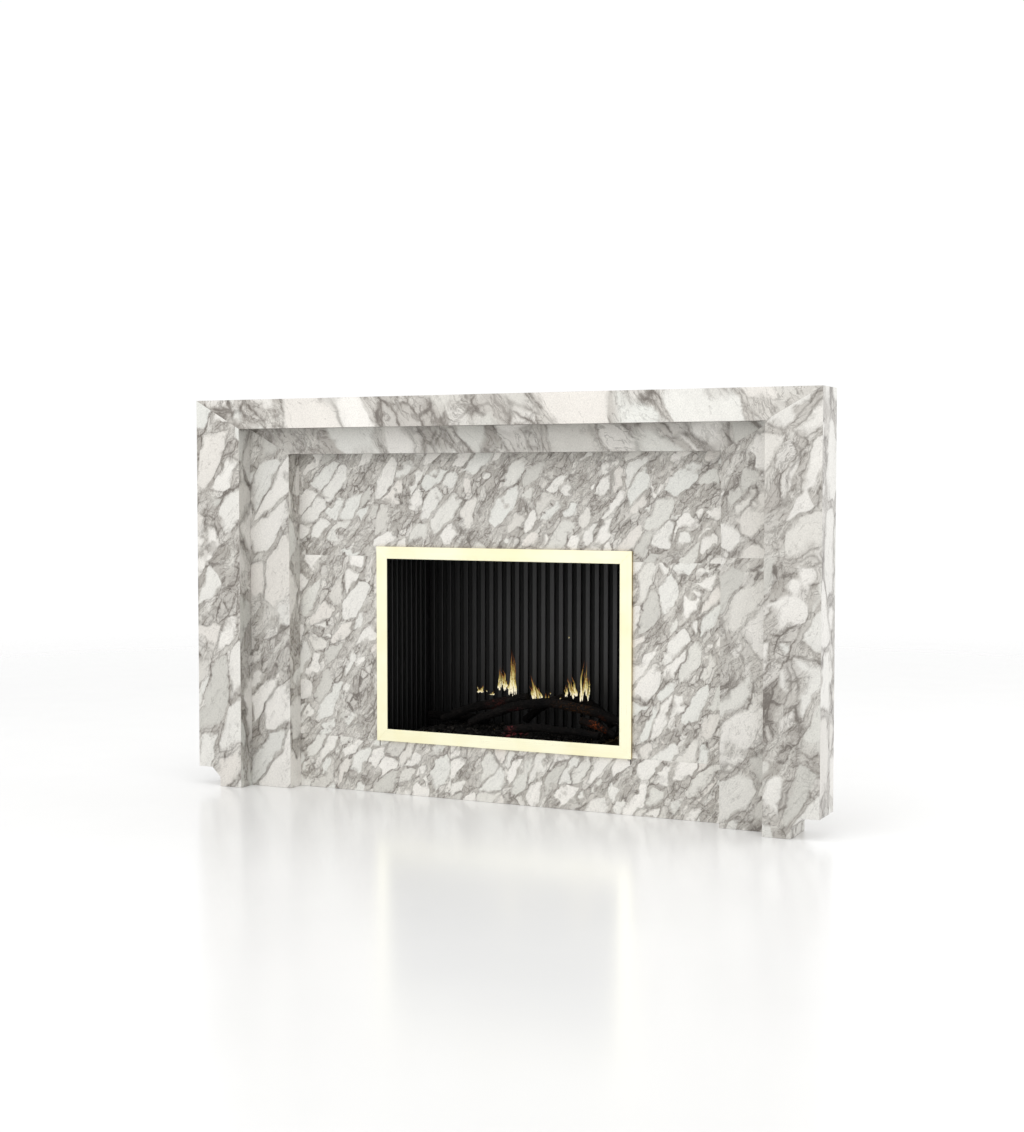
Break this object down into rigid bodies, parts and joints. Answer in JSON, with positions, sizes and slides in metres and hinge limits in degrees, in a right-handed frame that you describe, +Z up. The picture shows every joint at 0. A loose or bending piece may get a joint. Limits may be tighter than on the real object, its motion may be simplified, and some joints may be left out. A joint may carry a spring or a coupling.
{
  "type": "fireplace mantel",
  "caption": "Marble fireplace surround in stepped frames round an inset log-effect gas fire with a reeded black lining and a lift-off brass trim frame.",
  "frame": {"origin": "centre of the bounding box on the floor", "axes": "+Z up, +X to the right as seen from the room, +Y from the room towards the wall"},
  "size_m": [1.9, 0.409, 1.144],
  "materials": {
    "marble": "satin",
    "marble_facing": "satin",
    "timber": "matte",
    "fire_board": "matte",
    "bracket_steel": "satin",
    "brass": "satin",
    "magnet": "gloss",
    "firebox_steel": "matte",
    "reeded_liner": "satin",
    "tray_steel": "matte",
    "embers": "matte",
    "log": "matte",
    "valve_alloy": "satin",
    "knob": "matte",
    "galvanised_steel": "satin"
  },
  "bodies": {
    "surround": {"backer_bottom": "fire_board", "backer_left": "fire_board", "backer_right": "fire_board", "backer_top": "fire_board", "burner_tray": "tray_steel", "ember_bed": "embers", "facing_bottom_left": "marble_facing", "facing_bottom_right": "marble_facing", "facing_left": "marble_facing", "facing_right": "marble_facing", "facing_top": "marble_facing", "firebox_back": "firebox_steel", "firebox_floor": "firebox_steel", "firebox_side_left": "firebox_steel", "firebox_side_right": "firebox_steel", "firebox_top": "firebox_steel", "flue_spigot": "galvanised_steel", "foot_return_left": "marble", "foot_return_right": "marble", "gas_valve": "valve_alloy", "inner_jamb_face_left": "marble", "inner_jamb_face_right_lower": "marble", "inner_jamb_face_right_upper": "marble", "inner_lintel_face": "marble", "inner_lintel_soffit": "marble", "inner_reveal_left": "marble", "inner_reveal_right": "marble", "inner_stud_left": "timber", "inner_stud_right": "timber", "liner_back": "reeded_liner", "liner_left": "reeded_liner", "liner_right": "reeded_liner", "log_arch": "log", "log_back_left": "log", "log_back_right": "log", "log_front": "log", "log_long_left": "log", "log_right": "log", "mouth_flange": "firebox_steel", "outer_header": "timber", "outer_jamb_face_left": "marble", "outer_jamb_face_right": "marble", "outer_lintel_face": "marble", "outer_lintel_soffit": "marble", "outer_lintel_top": "marble", "outer_return_left": "marble", "outer_return_right": "marble", "outer_reveal_left": "marble", "outer_reveal_right": "marble", "outer_stud_left": "timber", "outer_stud_right": "timber", "stand_left": "galvanised_steel", "stand_right": "galvanised_steel", "wall_brackets": "bracket_steel"},
    "trim_frame": {"trim_left": "brass", "trim_right": "brass", "trim_top": "brass", "trim_bottom": "brass", "trim_magnets": "magnet"},
    "gas_knob": {"valve_knob": "knob"}
  },
  "joints": [
    {"name": "trim_lift_off", "type": "slide", "parent": "surround", "child": "trim_frame", "axis": [0, -1, 0], "range_m": [0, 0.2]},
    {"name": "gas_knob_turn", "type": "hinge", "parent": "surround", "child": "gas_knob", "pos_m": [0.33, -0.0505, 0.168], "axis": [0, 0, 1], "range_deg": [0, 180]}
  ]
}
